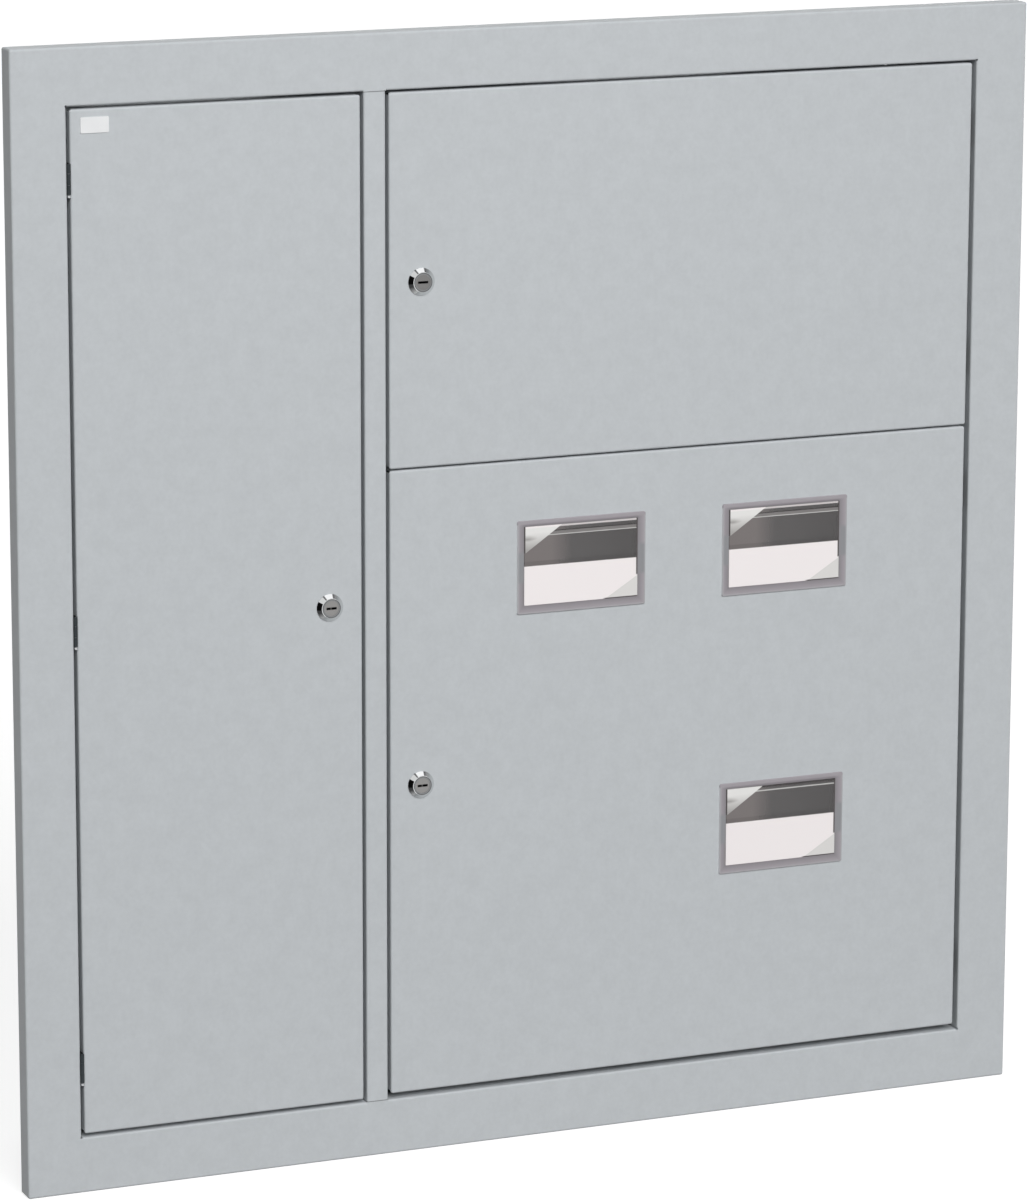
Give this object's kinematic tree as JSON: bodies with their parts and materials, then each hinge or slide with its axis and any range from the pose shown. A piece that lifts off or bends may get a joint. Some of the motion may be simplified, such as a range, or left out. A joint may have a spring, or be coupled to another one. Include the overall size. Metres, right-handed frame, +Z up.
{
  "type": "flush-mounted electricity meter cabinet",
  "caption": "Folded steel wall cabinet for electricity meters, with a tall side door, an upper door and a meter door with inspection windows, cam locks, rails and panels.",
  "frame": {"origin": "middle of the back face, halfway between the four wall fixing holes", "axes": "+X along the front from left to right, +Y from the front into the wall, +Z up"},
  "size_m": [0.95, 0.1447, 1],
  "materials": {
    "front_paint": "fine grey powder coat",
    "shell_paint": "grey powder coat",
    "panel_paint": "light grey powder coat",
    "window_frame": "smoky moulded plastic",
    "window_pane": "clear smoky plastic",
    "badge": "blank white plate",
    "lock_bezel": "satin chrome",
    "lock_face": "turned face",
    "zinc_plate": "zinc plated",
    "hinge_steel": "bright drawn",
    "hinge_leaf": "plain rolled sheet",
    "screw_cap": "black moulded",
    "brass_bar": "drawn bar",
    "insulator": "moulded blue"
  },
  "bodies": {
    "cabinet": {"back_shell": "shell_paint", "bar_insulators": "insulator", "bar_screws": "zinc_plate", "din_rail_1": "zinc_plate", "din_rail_2": "zinc_plate", "earth_bar": "brass_bar", "earth_studs": "zinc_plate", "fascia": "panel_paint", "fascia_screws": "screw_cap", "fascia_standoffs": "zinc_plate", "front_frame": "front_paint", "hinge_pins": "hinge_steel", "left_hinge_frame_leaf_1": "hinge_leaf", "left_hinge_frame_leaf_2": "hinge_leaf", "left_hinge_frame_leaf_3": "hinge_leaf", "low_current_panel": "panel_paint", "meter_hinge_frame_leaf_1": "hinge_leaf", "meter_hinge_frame_leaf_2": "hinge_leaf", "meter_panel": "panel_paint", "mullion": "front_paint", "neutral_bar": "brass_bar", "partition": "shell_paint", "partition_flanges": "shell_paint", "rail_brackets": "zinc_plate", "shelf": "shell_paint", "shelf_flanges": "shell_paint", "upper_hinge_frame_leaf_1": "hinge_leaf", "upper_hinge_frame_leaf_2": "hinge_leaf"},
    "left_door": {"left_door": "front_paint", "left_lock_housing": "lock_bezel", "left_lock_nut": "zinc_plate", "blank_badge": "badge", "left_hinge_door_leaf_1": "hinge_leaf", "left_hinge_door_leaf_2": "hinge_leaf", "left_hinge_door_leaf_3": "hinge_leaf"},
    "upper_door": {"upper_door": "front_paint", "upper_lock_housing": "lock_bezel", "upper_lock_nut": "zinc_plate", "upper_hinge_door_leaf_1": "hinge_leaf", "upper_hinge_door_leaf_2": "hinge_leaf"},
    "meter_door": {"meter_door": "front_paint", "meter_lock_housing": "lock_bezel", "meter_lock_nut": "zinc_plate", "meter_hinge_door_leaf_1": "hinge_leaf", "meter_hinge_door_leaf_2": "hinge_leaf", "window_frame_1": "window_frame", "window_frame_2": "window_frame", "window_frame_3": "window_frame", "window_pane_1": "window_pane", "window_pane_2": "window_pane", "window_pane_3": "window_pane"},
    "left_lock": {"left_lock_barrel": "lock_face", "left_lock_cam": "zinc_plate", "left_cam_screw": "zinc_plate"},
    "upper_lock": {"upper_lock_barrel": "lock_face", "upper_lock_cam": "zinc_plate", "upper_cam_screw": "zinc_plate"},
    "meter_lock": {"meter_lock_barrel": "lock_face", "meter_lock_cam": "zinc_plate", "meter_cam_screw": "zinc_plate"}
  },
  "joints": [
    {"name": "left_door_swing", "type": "hinge", "parent": "cabinet", "child": "left_door", "pos_m": [-0.4245, -0.14, 0], "axis": [0, 0, -1], "range_deg": [0, 110]},
    {"name": "upper_door_swing", "type": "hinge", "parent": "cabinet", "child": "upper_door", "pos_m": [0.4168, -0.1362, 0], "axis": [0, 0, 1], "range_deg": [0, 110]},
    {"name": "meter_door_swing", "type": "hinge", "parent": "cabinet", "child": "meter_door", "pos_m": [0.4163, -0.1362, 0], "axis": [0, 0, 1], "range_deg": [0, 110]},
    {"name": "left_lock_turn", "type": "hinge", "parent": "left_door", "child": "left_lock", "pos_m": [-0.1932, -0.14, 0.0026], "axis": [0, -1, 0], "range_deg": [0, 90]},
    {"name": "upper_lock_turn", "type": "hinge", "parent": "upper_door", "child": "upper_lock", "pos_m": [-0.1074, -0.14, 0.28313], "axis": [0, 1, 0], "range_deg": [0, 90]},
    {"name": "meter_lock_turn", "type": "hinge", "parent": "meter_door", "child": "meter_lock", "pos_m": [-0.1085, -0.14, -0.16392], "axis": [0, 1, 0], "range_deg": [0, 90]}
  ]
}
